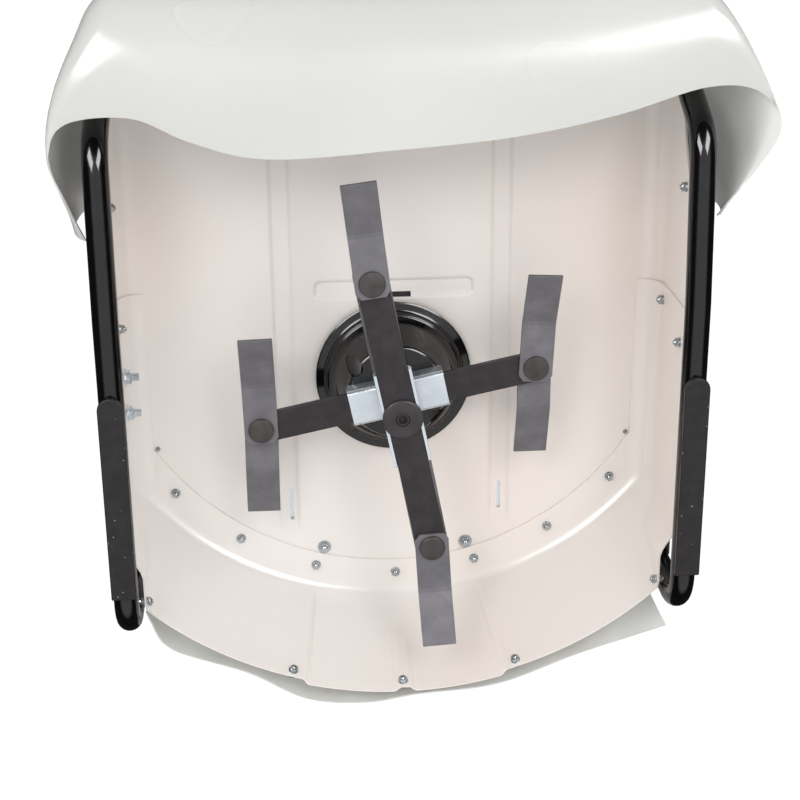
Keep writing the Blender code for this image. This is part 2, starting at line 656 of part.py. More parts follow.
def drive_claw(steps=24, segment=4):
    """A short hub with three square dogs facing the tractor."""
    bore, outer = INPUT_R + GAP, 0.0200
    base, face, dog = HITCH_Y + 0.040, HITCH_Y + 0.020, HITCH_Y + 0.008
    bm = bmesh.new()

    def ring(radius, y):
        turns = [2 * math.pi * i / steps for i in range(steps)]
        return [bm.verts.new((radius * math.cos(a), y, radius * math.sin(a))) for a in turns]

    outer_base, inner_base = ring(outer, base), ring(bore, base)
    outer_face, inner_face = ring(outer, face), ring(bore, face)
    outer_dog, inner_dog = ring(outer, dog), ring(bore, dog)
    for i in range(steps):
        j = (i + 1) % steps
        raised = (i // segment) % 2 == 0
        outer_tip, inner_tip = (outer_dog, inner_dog) if raised else (outer_face, inner_face)
        bm.faces.new((outer_base[i], outer_base[j], inner_base[j], inner_base[i]))
        bm.faces.new((outer_base[j], outer_base[i], outer_face[i], outer_face[j]))
        bm.faces.new((inner_base[i], inner_base[j], inner_face[j], inner_face[i]))
        bm.faces.new((outer_tip[i], inner_tip[i], inner_tip[j], outer_tip[j]))
        if raised:
            bm.faces.new((outer_face[i], outer_dog[i], outer_dog[j], outer_face[j]))
            bm.faces.new((inner_face[j], inner_dog[j], inner_dog[i], inner_face[i]))
        if i % segment == 0:
            bm.faces.new((outer_face[i], inner_face[i], inner_dog[i], outer_dog[i]))
    bmesh.ops.delete(bm, geom=[v for v in bm.verts if not v.link_faces], context="VERTS")
    return bm


# ---------------------------------------------------------------- curtain and flap
def mix(a, b, t):
    return a + (b - a) * t


def curtain_rows(count=27, depth=7):
    """The front curtain hangs from three strips and sweeps back under the front."""
    front = HOOP_Y + TUBE_R + 2 * GAP + 0.0070
    attach = bend_path([(0.3610, 0.245, 0.196), (0.3610, front, 0.196),
                        (-0.3610, front, 0.196), (-0.3610, 0.250, 0.196)], 0.040, 6)
    edge = smooth_path([(0.358, 0.236, 0.060), (0.378, 0.285, 0.052), (0.391, 0.330, 0.044),
                        (0.372, 0.372, 0.040), (0.298, 0.379, 0.035), (0.234, 0.352, 0.030),
                        (0.150, 0.331, 0.030), (0.004, 0.338, 0.030), (-0.130, 0.350, 0.030),
                        (-0.241, 0.371, 0.032), (-0.340, 0.398, 0.038), (-0.400, 0.392, 0.040),
                        (-0.430, 0.352, 0.045), (-0.410, 0.305, 0.052), (-0.366, 0.245, 0.060)])
    rows = []
    for i in range(count):
        t = i / (count - 1)
        top, hem = along(attach, t), along(edge, t)
        share = half_wave((top.y - 0.26) / 0.18)
        outward = Vector((top.x * mix(0.25, -0.08, share), max(0.0, top.y - 0.26), 0)).normalized()
        bulge = mix(0.020, 0.085, share)
        shoulder = top + outward * bulge + Vector((0, 0, -0.045))
        belly = mix(top, hem, 0.25) + outward * (bulge + 0.035 * share)
        belly.z = mix(0.060, 0.004, share)
        row = []
        for j in range(depth):
            s = j / (depth - 1)
            r = 1 - s
            row.append(top * r ** 3 + shoulder * 3 * r * r * s + belly * 3 * r * s * s
                       + hem * s ** 3)
        rows.append(row)
    return rows


def along(path, t):
    """The point at a share of a path's length."""
    lengths = [(b - a).length for a, b in zip(path, path[1:])]
    left = t * sum(lengths)
    for a, b, length in zip(path, path[1:], lengths):
        if left <= length:
            return mix(a, b, left / length)
        left -= length
    return path[-1].copy()


FLAP_TOP_R, FLAP_TOP_Z = 0.4458, 0.168     # the flap's upper edge, against the shroud


def flap_rows(count=17):
    """The rear flap hangs outside the shroud, with its lower edge standing off."""
    hem = smooth_path([(-0.343, -0.312, 0.100), (-0.229, -0.345, 0.096), (-0.122, -0.382, 0.092),
                       (-0.020, -0.389, 0.088), (0.051, -0.397, 0.086), (0.127, -0.388, 0.088),
                       (0.200, -0.350, 0.094), (0.296, -0.313, 0.098), (0.318, -0.278, 0.101),
                       (0.325, -0.261, 0.104)])
    rows = []
    for i in range(count):
        t = i / (count - 1)
        low = along(hem, t)
        angle = mix(-0.750, 0.750, t)
        reach = FLAP_TOP_R + shroud_relief(angle, FLAP_TOP_Z)
        top = Vector((reach * math.sin(angle), SHROUD_Y - reach * math.cos(angle), FLAP_TOP_Z))
        rows.append([mix(top, low, s) + Vector((0, -0.006 * math.sin(math.pi * s), 0))
                     for s in (0, 0.35, 0.7, 1.0)])
    return rows


def build_soft(vinyl, rubber, black, root):
    add("front_curtain", sheet(curtain_rows(), 0.0022), vinyl, root, smooth=60)
    add("rear_flap", sheet(flap_rows(), 0.0025), rubber, root, smooth=60)
    strip_z = 0.196
    front_strip = rounded_box((0.600, 0.003, 0.020), (0, HOOP_Y + TUBE_R + GAP + 0.0015, strip_z),
                              0.0008, 1)
    add("curtain_strip_front", front_strip, black, root)
    for label, side in (("left", 1), ("right", -1)):
        add(f"curtain_strip_{label}",
            rounded_box((0.003, 0.120, 0.020), (side * 0.3569, 0.325, strip_z), 0.0008, 1),
            black, root)


# ---------------------------------------------------------------- the machine
def build():
    clear_scene()
    root = bpy.data.objects.new("machine", None)
    bpy.context.collection.objects.link(root)
    root.location = (MACHINE_X, MACHINE_Y, 0)

    cream = material("cream_paint", (0.76, 0.69, 0.63), 0.32)
    black = material("black_gloss", (0.012, 0.012, 0.013), 0.16)
    satin = material("black_satin", (0.045, 0.040, 0.042), 0.45)
    steel = material("dark_steel", (0.17, 0.165, 0.175), 0.42, 0.9)
    zinc = material("bright_zinc", (0.78, 0.82, 0.86), 0.22, 1.0)
    chrome = material("bearing_steel", (0.60, 0.61, 0.62), 0.20, 1.0)
    cast = material("grey_casting", (0.25, 0.26, 0.27), 0.50, 0.3)
    vinyl = material("white_vinyl", (0.84, 0.84, 0.82), 0.22)
    grey = material("grey_rubber", (0.52, 0.52, 0.50), 0.50)
    seal = material("seal_rubber", (0.03, 0.03, 0.03), 0.60)

    build_deck(cream, root)
    build_shroud(cream, root)
    build_side_bolts(zinc, root)
    build_runners(black, satin, root)
    build_rotor((steel, zinc, satin), root)
    build_dish(black, root)
    build_drive((cast, chrome, chrome, seal, zinc), root)
    build_soft(vinyl, grey, satin, root)


build()
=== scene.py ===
"""Rotary brush mower deck, seen from underneath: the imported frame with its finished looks."""
import json
import math

import bmesh
import bpy
from mathutils import Matrix, Vector


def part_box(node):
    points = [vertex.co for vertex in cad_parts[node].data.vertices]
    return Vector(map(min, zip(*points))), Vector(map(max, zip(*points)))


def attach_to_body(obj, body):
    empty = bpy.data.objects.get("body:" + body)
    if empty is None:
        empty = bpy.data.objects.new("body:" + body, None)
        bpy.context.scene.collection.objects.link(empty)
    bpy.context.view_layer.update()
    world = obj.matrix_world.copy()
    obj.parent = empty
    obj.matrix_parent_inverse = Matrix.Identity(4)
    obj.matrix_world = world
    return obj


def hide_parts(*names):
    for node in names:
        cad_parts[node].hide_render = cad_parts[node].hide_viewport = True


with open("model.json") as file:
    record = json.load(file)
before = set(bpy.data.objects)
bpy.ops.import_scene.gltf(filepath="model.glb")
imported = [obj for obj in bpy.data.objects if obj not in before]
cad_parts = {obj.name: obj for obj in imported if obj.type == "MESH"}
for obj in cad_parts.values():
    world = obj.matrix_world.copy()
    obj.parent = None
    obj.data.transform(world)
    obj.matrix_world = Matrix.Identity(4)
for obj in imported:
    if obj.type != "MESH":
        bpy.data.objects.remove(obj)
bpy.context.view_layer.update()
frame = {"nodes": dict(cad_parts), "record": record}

NODES = frame["nodes"]


def middle(node):
    low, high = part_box(node)
    return (low + high) / 2


# ---------------------------------------------------------------- sizes, all in metres
AXIS = middle("hub_dish")
ORIGIN = Vector((AXIS.x, AXIS.y, 0))            # the rotor's axis, on the ground
DECK_Z = 0.235
SHEET = 0.0025
SIDE_X = 0.345
CORNER_R = 0.030
SIDE_BOTTOM_Z = 0.050
DECK_FRONT_Y = 0.405
DECK_REAR_R = 0.398
DECK_BORE_R = 0.042
BEAD_X = 0.1395
GAP = 0.0003

SHROUD_Y = 0.104
RING_IN_R, RING_BEND_R = 0.370, 0.404
FLARE_R, FLARE_Z = 0.471, 0.070
SHROUD_SHEET = 0.002
RING_Z = DECK_Z - GAP - SHROUD_SHEET
NUT_RING_R = 0.388
HEM_NUT_Z = 0.0790
BEND_STEPS, SKIRT_STEPS, RING_STEPS = 10, 24, 5

TUBE_R, TUBE_X, TUBE_Z = 0.015, 0.340, 0.0230
LEG_Y, LEG_TOP_Z = -0.246, 0.185
RISER_Y, RISER_Z, RISER_LEAN = 0.345, 0.040, 0.49
HOOP_Z = 0.1975
HOOP_Y = RISER_Y + (HOOP_Z - RISER_Z) * RISER_LEAN
JOINT_Z = HOOP_Z - 0.030
JOINT_Y = HOOP_Y - 0.030 * RISER_LEAN
STRIP_X, STRIP_Z = 0.3610, 0.196
FLAP_TOP_R, FLAP_TOP_Z, FLAP_TURN = 0.4505, 0.168, 0.750

BAR_TURN = math.radians(11.5)
BAR_W, BAR_T = 0.038, 0.008
BLADE_T, CHANNEL_T = 0.0040, 0.0040
PIVOT_R = 0.175
BAR_Z = {"lower": 0.0746, "upper": 0.1451}
BLADE_ENDS = {"front": (0, "lower"), "rear": (180, "lower"),
              "left": (90, "upper"), "right": (-90, "upper")}
DISH_Z = 0.1660
DISH_HOLE_R, DISH_HOLE_AT = 0.0105, 0.062
INPUT_Z = 0.300


# ---------------------------------------------------------------- node materials
class Nodes:
    """A short way to write a material's node tree."""

    def __init__(self, name):
        self.material = bpy.data.materials.new(name)
        self.material.use_nodes = True
        self.tree = self.material.node_tree
        self.shader = self.tree.nodes["Principled BSDF"]
        self.place = self.add("ShaderNodeTexCoord").outputs["Object"]

    def add(self, kind, **values):
        node = self.tree.nodes.new(kind)
        for key, value in values.items():
            setattr(node, key, value)
        return node

    def link(self, source, target):
        self.tree.links.new(source, target)

    def set(self, **values):
        for key, value in values.items():
            self.shader.inputs[key.replace("_", " ")].default_value = value

    def noise(self, scale, detail=2.0, rough=0.5, stretch=None):
        node = self.add("ShaderNodeTexNoise")
        node.inputs["Scale"].default_value = scale
        node.inputs["Detail"].default_value = detail
        node.inputs["Roughness"].default_value = rough
        source = self.place
        if stretch:
            mapping = self.add("ShaderNodeMapping")
            mapping.inputs["Scale"].default_value = stretch
            self.link(source, mapping.inputs["Vector"])
            source = mapping.outputs["Vector"]
        self.link(source, node.inputs["Vector"])
        return node.outputs["Fac"]

    def ramp(self, source, stops):
        node = self.add("ShaderNodeValToRGB")
        node.color_ramp.interpolation = "B_SPLINE" if len(stops) > 2 else "EASE"
        elements = node.color_ramp.elements
        while len(elements) < len(stops):
            elements.new(0.5)
        for element, (position, colour) in zip(elements, stops):
            element.position = position
            element.color = (*colour, 1.0)
        self.link(source, node.inputs["Fac"])
        return node.outputs["Color"]

    def spread(self, source, low, high, start=0.3, end=0.7):
        node = self.add("ShaderNodeMapRange", interpolation_type="SMOOTHSTEP")
        for key, value in (("From Min", start), ("From Max", end), ("To Min", low), ("To Max", high)):
            node.inputs[key].default_value = value
        self.link(source, node.inputs["Value"])
        return node.outputs["Result"]

    def colour(self, source):
        self.link(source, self.shader.inputs["Base Color"])

    def roughness(self, source):
        self.link(source, self.shader.inputs["Roughness"])

    def bump(self, source, strength, distance):
        node = self.add("ShaderNodeBump")
        node.inputs["Strength"].default_value = strength
        node.inputs["Distance"].default_value = distance
        self.link(source, node.inputs["Height"])
        self.link(node.outputs["Normal"], self.shader.inputs["Normal"])


def grey(value):
    return (value, value, value)


def make_paint():
    """Cream powder coat: slow warm and cool drifts, orange peel."""
    m = Nodes("cream_paint_look")
    m.colour(m.ramp(m.noise(3.2, 0.0), [(0.15, (0.885, 0.790, 0.735)), (0.50, (0.895, 0.845, 0.805)),
                                         (0.85, (0.900, 0.880, 0.860))]))
    m.roughness(m.spread(m.noise(9.0, 0.0), 0.28, 0.36, 0.1, 0.9))
    m.set(Coat_Weight=0.2, Coat_Roughness=0.12)
    m.bump(m.noise(420.0, 1.0), 0.05, 0.0004)
    return m.material


def make_gloss_black():
    m = Nodes("black_gloss_look")
    m.colour(m.ramp(m.noise(14.0, 3.0), [(0.3, (0.0020, 0.0018, 0.0022)),
                                         (0.7, (0.0034, 0.0030, 0.0034))]))
    m.roughness(m.spread(m.noise(40.0), 0.09, 0.16))
    m.bump(m.noise(260.0, 1.5), 0.06, 0.0004)
    return m.material


def make_satin_black(name="black_satin_look", base=(0.029, 0.0240, 0.0275), specks=0.0):
    m = Nodes(name)
    m.set(Specular_IOR_Level=0.25)
    mottled = m.ramp(m.noise(60.0, 4.0), [(0.3, tuple(0.80 * c for c in base)),
                                          (0.7, tuple(1.16 * c for c in base))])
    if specks:
        mask = m.ramp(m.noise(330.0, 0.0), [(specks, grey(0.0)), (specks + 0.02, grey(1.0))])
        blend = m.add("ShaderNodeMix", data_type="RGBA")
        m.link(mask, blend.inputs["Factor"])
        m.link(mottled, blend.inputs[6])
        blend.inputs[7].default_value = (0.42, 0.42, 0.43, 1)
        mottled = blend.outputs[2]
    m.colour(mottled)
    m.roughness(m.spread(m.noise(25.0), 0.38, 0.52))
    m.bump(m.noise(900.0, 2.0), 0.12, 0.0003)
    return m.material


def make_blade_steel():
    """Raw rolled steel: mottled scale with faint lengthwise streaks."""
    m = Nodes("dark_steel_look")
    m.colour(m.ramp(m.noise(38.0, 5.0, 0.62), [(0.30, (0.120, 0.116, 0.128)),
                                               (0.52, (0.148, 0.143, 0.156)),
                                               (0.72, (0.180, 0.174, 0.188))]))
    m.roughness(m.spread(m.noise(55.0, 4.0), 0.42, 0.60))
    m.set(Metallic=0.35)
    m.bump(m.noise(480.0, 4.0, 0.6), 0.16, 0.0004)
    return m.material


def make_zinc(name="bright_zinc_look", low=(0.60, 0.655, 0.705), high=(0.68, 0.730, 0.780)):
    m = Nodes(name)
    m.colour(m.ramp(m.noise(22.0, 3.0), [(0.3, low), (0.7, high)]))
    m.roughness(m.spread(m.noise(60.0, 3.0), 0.22, 0.32))
    m.set(Metallic=0.85)
    m.bump(m.noise(90.0, 2.0), 0.02, 0.0003)
    return m.material


def make_bearing_steel():
    m = Nodes("bearing_steel_look")
    m.colour(m.ramp(m.noise(30.0, 3.0), [(0.3, (0.46, 0.465, 0.48)), (0.7, (0.58, 0.585, 0.60))]))
    m.roughness(m.spread(m.noise(90.0, 3.0), 0.20, 0.34))
    m.set(Metallic=1.0)
    m.bump(m.noise(500.0, 2.0, stretch=(1.0, 1.0, 14.0)), 0.06, 0.0003)
    return m.material


def make_casting():
    """Sand-cast grey iron under thin dark paint. The near-black colour is also painted shade, so the housing
    seen through the dish's holes reads as a shaded cavity.
    """
    m = Nodes("casting_dark_paint_and_shade_look")
    # near-black base: dark paint, and painted shade for the cavity behind the dish's holes
    m.colour(m.ramp(m.noise(26.0, 4.0), [(0.3, (0.040, 0.040, 0.043)), (0.7, (0.062, 0.062, 0.066))]))
    m.roughness(m.spread(m.noise(45.0), 0.42, 0.58))
    m.set(Metallic=0.2)
    m.bump(m.noise(340.0, 5.0, 0.6), 0.30, 0.0008)
    return m.material


def make_vinyl():
    """Glossy white sheet with a very faint waviness."""
    m = Nodes("white_vinyl_look")
    m.colour(m.ramp(m.noise(5.0, 0.0), [(0.1, (0.615, 0.623, 0.600)), (0.9, (0.665, 0.673, 0.650))]))
    m.roughness(m.spread(m.noise(7.0, 0.0), 0.20, 0.28, 0.1, 0.9))
    m.set(Subsurface_Weight=0.30, Subsurface_Radius=(0.012, 0.012, 0.012), Subsurface_Scale=1.0)
    m.bump(m.noise(16.0, 1.0), 0.03, 0.004)
    return m.material


def make_rubber(name, low, high, rough):
    m = Nodes(name)
    m.colour(m.ramp(m.noise(18.0, 4.0), [(0.3, low), (0.7, high)]))
    m.roughness(m.spread(m.noise(60.0), rough - 0.06, rough + 0.08))
    m.bump(m.noise(620.0, 3.0), 0.15, 0.0004)
    return m.material


PAINT = make_paint()
GLOSS = make_gloss_black()
SATIN = make_satin_black()
SHOE = make_satin_black("shoe_look", (0.0170, 0.0150, 0.0165), 0.83)
WASHER = make_satin_black("washer_look", (0.041, 0.0370, 0.0400))
BOLT_HEAD = make_satin_black("bolt_head_look", (0.057, 0.0500, 0.0490))
BLADE = make_blade_steel()
ZINC = make_zinc()
NUT_ZINC = make_zinc("nut_zinc_look", (0.36, 0.385, 0.40), (0.46, 0.485, 0.50))
BEARING = make_bearing_steel()
CASTING = make_casting()
VINYL = make_vinyl()
FLAP = make_rubber("grey_rubber_look", (0.64, 0.65, 0.63), (0.70, 0.71, 0.69), 0.42)
SEAL = make_rubber("seal_rubber_look", (0.018, 0.018, 0.018), (0.030, 0.030, 0.030), 0.60)


# ---------------------------------------------------------------- mesh helpers
def piece(name, bm, material, body="deck", stands_for=(), sharp=35, bevel=0.0, at=None):
    """Turn a bmesh drawn about the rotor's axis into a finished piece on a body."""
    bmesh.ops.recalc_face_normals(bm, faces=bm.faces)
    if at is not None:
        bmesh.ops.transform(bm, matrix=at, verts=bm.verts)
    bmesh.ops.translate(bm, vec=ORIGIN, verts=bm.verts)
    mesh = bpy.data.meshes.new(name)
    bm.to_mesh(mesh)
    bm.free()
    mesh.shade_smooth()
    mesh.set_sharp_from_angle(angle=math.radians(sharp))
    mesh.materials.append(material)
    obj = bpy.data.objects.new(name, mesh)
    bpy.context.collection.objects.link(obj)
    if bevel:
        edge = obj.modifiers.new("edge", "BEVEL")
        edge.width = bevel
        edge.segments = 2
        edge.limit_method = "ANGLE"
        edge.angle_limit = math.radians(40)
        edge.harden_normals = True
    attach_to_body(obj, body)
    if stands_for:
        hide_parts(*stands_for)
    return obj


def turned(profile, steps=96, bm=None):
    """Close a ring of (radius, height) points by turning it about Z."""
    bm = bm or bmesh.new()
    rings = []
    for radius, height in profile:
        if radius < 1e-6:
            rings.append([bm.verts.new((0, 0, height))] * steps)
            continue
        turns = [2 * math.pi * i / steps for i in range(steps)]
        rings.append([bm.verts.new((radius * math.cos(a), radius * math.sin(a), height))
                      for a in turns])
    open_ends = profile[0][0] < 1e-6 and profile[-1][0] < 1e-6
    for low, high in zip(rings, rings[1:] + ([] if open_ends else rings[:1])):
        for i in range(steps):
            j = (i + 1) % steps
            corners = list(dict.fromkeys((low[i], low[j], high[j], high[i])))
            if len(corners) > 2:
                bm.faces.new(corners)
    return bm


def rounded(points, radius, steps=4):
    """Round the inner corners of an open 2D profile."""
    out = [points[0]]
    for before, corner, after in zip(points, points[1:], points[2:]):
        a, b, c = Vector(before), Vector(corner), Vector(after)
        into, away = (a - b), (c - b)
        reach = min(radius, 0.45 * into.length, 0.45 * away.length)
        start, end = b + into.normalized() * reach, b + away.normalized() * reach
        for i in range(steps + 1):
            t = i / steps
            out.append(tuple(start * (1 - t) ** 2 + b * 2 * t * (1 - t) + end * t * t))
    out.append(points[-1])
    return out


def prism(outline, low, high):
    bm = bmesh.new()
    base = [bm.verts.new((x, y, low)) for x, y in outline]
    top = [bm.verts.new((x, y, high)) for x, y in outline]
    bm.faces.new(base)
    bm.faces.new(top)
    for i in range(len(base)):
        j = (i + 1) % len(base)
        bm.faces.new((base[i], base[j], top[j], top[i]))
    return bm


def sheet_mesh(rows, thickness):
    """Give a grid of points a thickness, half to each side, with closed edges."""
    count_u, count_v = len(rows), len(rows[0])
    bm = bmesh.new()
    sides = ([], [])
    for i in range(count_u):
        fore, aft = rows[min(i + 1, count_u - 1)], rows[max(i - 1, 0)]
        for grid in sides:
            grid.append([])
        for j in range(count_v):
            across = rows[i][min(j + 1, count_v - 1)] - rows[i][max(j - 1, 0)]
            half = (fore[j] - aft[j]).cross(across).normalized() * (thickness / 2)
            sides[0][i].append(bm.verts.new(rows[i][j] + half))
            sides[1][i].append(bm.verts.new(rows[i][j] - half))
    for grid in sides:
        for i in range(count_u - 1):
            for j in range(count_v - 1):
                bm.faces.new((grid[i][j], grid[i + 1][j], grid[i + 1][j + 1], grid[i][j + 1]))
    border = [(i, 0) for i in range(count_u)]
    border += [(count_u - 1, j) for j in range(1, count_v)]
    border += [(i, count_v - 1) for i in range(count_u - 2, -1, -1)]
    border += [(0, j) for j in range(count_v - 2, 0, -1)]
    for (a, b), (c, d) in zip(border, border[1:] + border[:1]):
        bm.faces.new((sides[0][a][b], sides[0][c][d], sides[1][c][d], sides[1][a][b]))
    return bm


def drill(obj, bm):
    """Cut a bmesh drawn about the rotor's axis out of a piece."""
    bmesh.ops.recalc_face_normals(bm, faces=bm.faces)
    bmesh.ops.translate(bm, vec=ORIGIN, verts=bm.verts)
    mesh = bpy.data.meshes.new("cutter")
    bm.to_mesh(mesh)
    bm.free()
    mesh.materials.append(obj.data.materials[0])
    cutter = bpy.data.objects.new("cutter", mesh)
    bpy.context.collection.objects.link(cutter)
    boolean = obj.modifiers.new("cut", "BOOLEAN")
    boolean.operation = "DIFFERENCE"
    boolean.solver = "EXACT"
    boolean.object = cutter
    graph = bpy.context.evaluated_depsgraph_get()
    result = bpy.data.meshes.new_from_object(obj.evaluated_get(graph))
    obj.modifiers.clear()
    obj.data = result
    bpy.data.objects.remove(cutter, do_unlink=True)


def rod(radius, low, high, x=0.0, y=0.0, steps=32):
    bm = turned([(0, low), (radius, low), (radius, high), (0, high)], steps)
    bmesh.ops.translate(bm, vec=(x, y, 0), verts=bm.verts)
    return bm


def mix(a, b, t):
    return a + (b - a) * t


def half_wave(t):
    """0 to 1 with level ends."""
    return 0.5 - 0.5 * math.cos(math.pi * min(max(t, 0.0), 1.0))


def smooth_path(points, step=0.012):
    """A Catmull-Rom curve through the points, about one point for each step."""
    points = [Vector(p) for p in points]
    ends = [2 * points[0] - points[1]] + points + [2 * points[-1] - points[-2]]
    path = []
    for p0, p1, p2, p3 in zip(ends, ends[1:], ends[2:], ends[3:]):
        count = max(1, round((p2 - p1).length / step))
        for i in range(count):
            t = i / count
            path.append(0.5 * (2 * p1 + (p2 - p0) * t
                               + (2 * p0 - 5 * p1 + 4 * p2 - p3) * t * t
                               + (3 * p1 - p0 - 3 * p2 + p3) * t ** 3))
    path.append(points[-1])
    return path


def bend_path(corners, radius, steps=6):
    """Straight runs between corners, with a round bend at each inner corner."""
    corners = [Vector(c) for c in corners]
    path = [corners[0]]
    for before, corner, after in zip(corners, corners[1:], corners[2:]):
        into = (before - corner).normalized()
        out = (after - corner).normalized()
        half = into.angle(out) / 2
        reach = radius / math.tan(half)
        centre = corner + (into + out).normalized() * radius / math.sin(half)
        start, end = corner + into * reach, corner + out * reach
        sweep = math.pi - 2 * half
        count = max(2, round(steps * sweep / (math.pi / 2)))
        for i in range(count + 1):
            a, b = start - centre, end - centre
            t = i / count
            path.append(centre + (a * math.sin((1 - t) * sweep) + b * math.sin(t * sweep))
                        / math.sin(sweep))
    path.append(corners[-1])
    return path


def along(path, t):
    """The point at a share of a path's length."""
    lengths = [(b - a).length for a, b in zip(path, path[1:])]
    left = t * sum(lengths)
    for a, b, length in zip(path, path[1:], lengths):
        if left <= length:
            return mix(a, b, left / length)
        left -= length
    return path[-1].copy()


def tube_mesh(path, radius, sides=28):
    """A round tube with rounded-over closed ends."""
    bm = bmesh.new()
    path = [Vector(p) for p in path]
    rings = []
    side = Vector((1, 0, 0))
    for i, point in enumerate(path):
        ahead = (path[min(i + 1, len(path) - 1)] - path[max(i - 1, 0)]).normalized()
        side = (side - ahead * side.dot(ahead))
        if side.length < 1e-4:
            side = ahead.orthogonal()
        side.normalize()
        up = ahead.cross(side)
        turns = [2 * math.pi * k / sides for k in range(sides)]
        rings.append([bm.verts.new(point + (side * math.cos(a) + up * math.sin(a)) * radius)
                      for a in turns])
    for low, high in zip(rings, rings[1:]):
        for k in range(sides):
            j = (k + 1) % sides
            bm.faces.new((low[k], low[j], high[j], high[k]))
    bm.faces.new(rings[0])
    bm.faces.new(rings[-1])
    return bm


# ---------------------------------------------------------------- deck
def pressed(x, y):
    """Height of the long beads and the short cross channel pressed into the top plate."""
    height = 0.0
    for bead in (BEAD_X, -BEAD_X):
        across = half_wave((0.0150 - abs(x - bead)) / 0.0055)
        height += 0.0040 * across * half_wave((y + 0.212) / 0.014)
    corner = 0.0095
    beyond_x = max(0.0, abs(x + 0.0025) - 0.1030 + corner)
    beyond_y = max(0.0, abs(y - 0.1155) - 0.0135 + corner)
    return height + 0.0034 * half_wave((corner - math.hypot(beyond_x, beyond_y)) / 0.0045)


def deck_edge(x, z):
    """Rear edge of the deck at a place on its cross section."""
    if z > DECK_Z - 0.5 * CORNER_R:
        return SHROUD_Y - math.sqrt(DECK_REAR_R ** 2 - min(abs(x), SIDE_X) ** 2)
    return -0.092 - 0.120 * (DECK_Z - CORNER_R - z) / (DECK_Z - CORNER_R - SIDE_BOTTOM_Z)


def deck_section():
    """The deck's cross section, crowded where the plate is pressed."""
    x_plate, z_plate = SIDE_X + SHEET / 2, DECK_Z + SHEET / 2
    section = [(x_plate, mix(SIDE_BOTTOM_Z, DECK_Z - CORNER_R, i / 8)) for i in range(8)]
    for i in range(11):
        angle = math.pi / 2 * i / 10
        section.append((x_plate - CORNER_R + CORNER_R * math.cos(angle),
                        z_plate - CORNER_R + CORNER_R * math.sin(angle)))
    beads = (0.0165, 0.0150, 0.0135, 0.0122, 0.0108, 0.0095, 0.004)
    xs = [0.30, 0.27, 0.24, 0.21, 0.18] + [BEAD_X + d for d in beads]
    xs += [BEAD_X - d for d in reversed(beads)] + [0.112]
    xs += [0.1060 - 0.0014 * i for i in range(9)] + [0.090, 0.075, 0.055, 0.035, 0.015]
    section += [(x, z_plate) for x in xs]
    return section + [(-x, z) for x, z in reversed(section)]


def deck_grid():
    """The deck's grid, with its rows of points crowded where the plate is pressed."""
    crowd = [-0.216 + 0.0015 * i for i in range(16)] + [0.098 + 0.0011 * i for i in range(33)]
    shares = sorted([i / 34 for i in range(35)] + [(y + 0.294) / 0.699 for y in crowd])
    rows = []
    for x, z in deck_section():
        rear = deck_edge(x, z)
        front = DECK_FRONT_Y - 0.145 * half_wave((0.205 - z) / 0.115)
        ys = [mix(rear, front, share) for share in shares]
        rows.append([Vector((x, y, z + (pressed(x, y) if abs(x) < 0.2 else 0.0))) for y in ys])
    return rows


def block(x, y, half_x, half_y, low, high):
    """An upright box about a place on the plan."""
    outline = [(x - half_x, y - half_y), (x + half_x, y - half_y),
               (x + half_x, y + half_y), (x - half_x, y + half_y)]
    return prism(outline, low, high)


SLOTS = (("left", 0.1365, -0.1810, 0.0023, 0.0220, ZINC),
         ("right", -0.1400, -0.1785, 0.0023, 0.0195, ZINC),
         ("front", -0.0070, 0.1065, 0.0170, 0.0035, SATIN))

deck = piece("deck_plate", sheet_mesh(deck_grid(), SHEET), PAINT, stands_for=("deck_shell",))
drill(deck, rod(DECK_BORE_R, DECK_Z - 0.02, DECK_Z + 0.02, steps=64))
for label, slot_x, slot_y, half_x, half_y, look in SLOTS:
    drill(deck, block(slot_x, slot_y, half_x, half_y, DECK_Z - 0.004, DECK_Z + 0.012))
    backing = block(slot_x, slot_y, half_x + 0.0055, half_y + 0.0055, DECK_Z + 0.0067, DECK_Z + 0.0087)
    piece(f"slot_plate_{label}", backing, look, bevel=0.0005)


# ---------------------------------------------------------------- rear shroud
def shroud_relief(angle, height):
    """How far the raised centre panel and its rib move the skirt outwards."""
    arc = abs(angle) * FLARE_R
    panel_edge = 0.128 + 0.10 * (0.20 - height) * 0.35
    fade = half_wave((0.226 - height) / 0.016)
    panel = 0.0065 * half_wave((panel_edge - arc) / 0.010)
    rib_fade = half_wave((0.185 - height) / 0.040)
    return fade * panel - 0.0060 * rib_fade * half_wave((0.0150 - arc) / 0.0100)


def shroud_x(x, y, z):
    """Keep the shroud inside the deck's sides and their round bends."""
    limit = SIDE_X - GAP - SHROUD_SHEET / 2
    limit -= 0.0215 * half_wave((-0.150 - y) / 0.050)
    into_bend = min(max(0.0, z + SHROUD_SHEET / 2 + GAP - (DECK_Z - CORNER_R)), CORNER_R)
    limit -= CORNER_R - math.sqrt(CORNER_R ** 2 - into_bend ** 2)
    return math.copysign(min(abs(x), limit), x)


def shroud_profile():
    """The flat ring, its bend, and the flared skirt, as (radius, height) points."""
    ring_z = RING_Z + SHROUD_SHEET / 2
    points = [(mix(RING_IN_R, RING_BEND_R, i / RING_STEPS), ring_z) for i in range(RING_STEPS + 1)]
    for i in range(1, BEND_STEPS + 1):
        angle = math.radians(73) * i / BEND_STEPS
        points.append((RING_BEND_R + 0.0200 * math.sin(angle), ring_z - 0.019 * (1 - math.cos(angle))))
    last_r, last_z = points[-1]
    shares = [i / SKIRT_STEPS for i in range(1, SKIRT_STEPS + 1)]
    return points + [(mix(last_r, FLARE_R, t), mix(last_z, FLARE_Z, t)) for t in shares]


def shroud_point(angle, radius, height):
    reach = radius + shroud_relief(angle, height)
    x, y = reach * math.sin(angle), SHROUD_Y - reach * math.cos(angle)
    return Vector((shroud_x(x, y, height), y, height))


